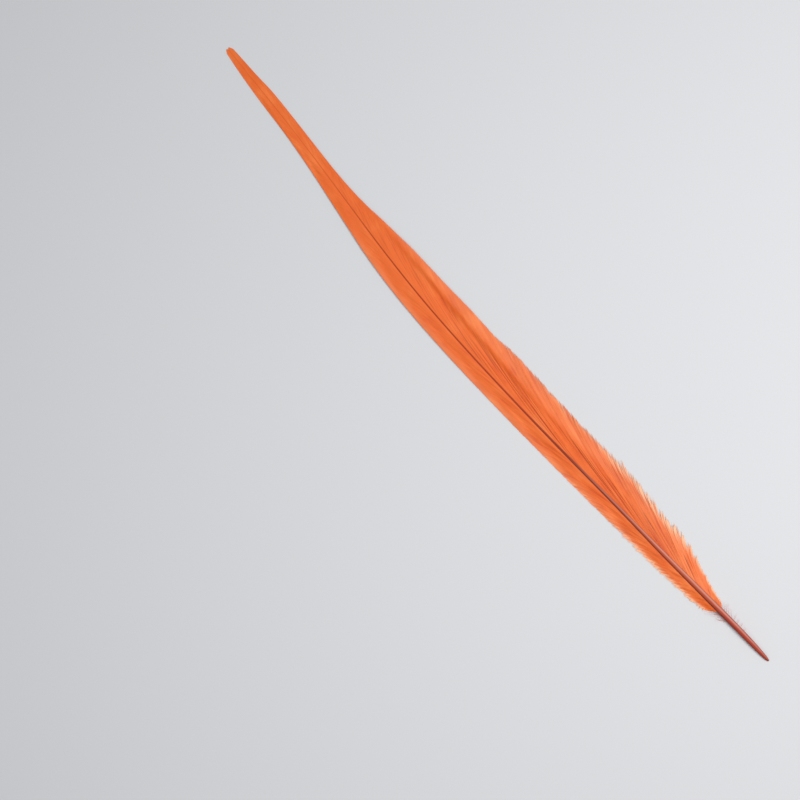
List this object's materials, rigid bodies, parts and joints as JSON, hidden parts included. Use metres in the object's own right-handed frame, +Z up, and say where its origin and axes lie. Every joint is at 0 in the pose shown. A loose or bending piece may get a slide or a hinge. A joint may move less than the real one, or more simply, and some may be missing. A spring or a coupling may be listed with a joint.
{
  "type": "golden pheasant tail feather",
  "caption": "Long tapered tail feather, dyed bright orange, with a bare quill, a thin arched shaft, a wide and a narrow vane and a little sparse down at the base, lying on its vane edges.",
  "frame": {"origin": "on the surface that the feather lies on, under the middle of its bounding box", "axes": "+X from the quill end to the tip, +Y to the feather's left seen from above with the tip ahead, +Z up out of the upper side"},
  "size_m": [0.5501, 0.0376, 0.0047],
  "materials": {
    "horn": "smooth dyed keratin, brick orange at the quill and mauve brown with a pale line along the rachis",
    "web": "close-set dyed barbs, silky along their run, with fine splits and a pale loose fringe towards the base",
    "down": "loose fluffy dyed down"
  },
  "bodies": {
    "root": {"shaft": "horn", "vane_left": "web", "vane_right": "web", "down_left": "down", "down_right": "down"}
  },
  "joints": []
}
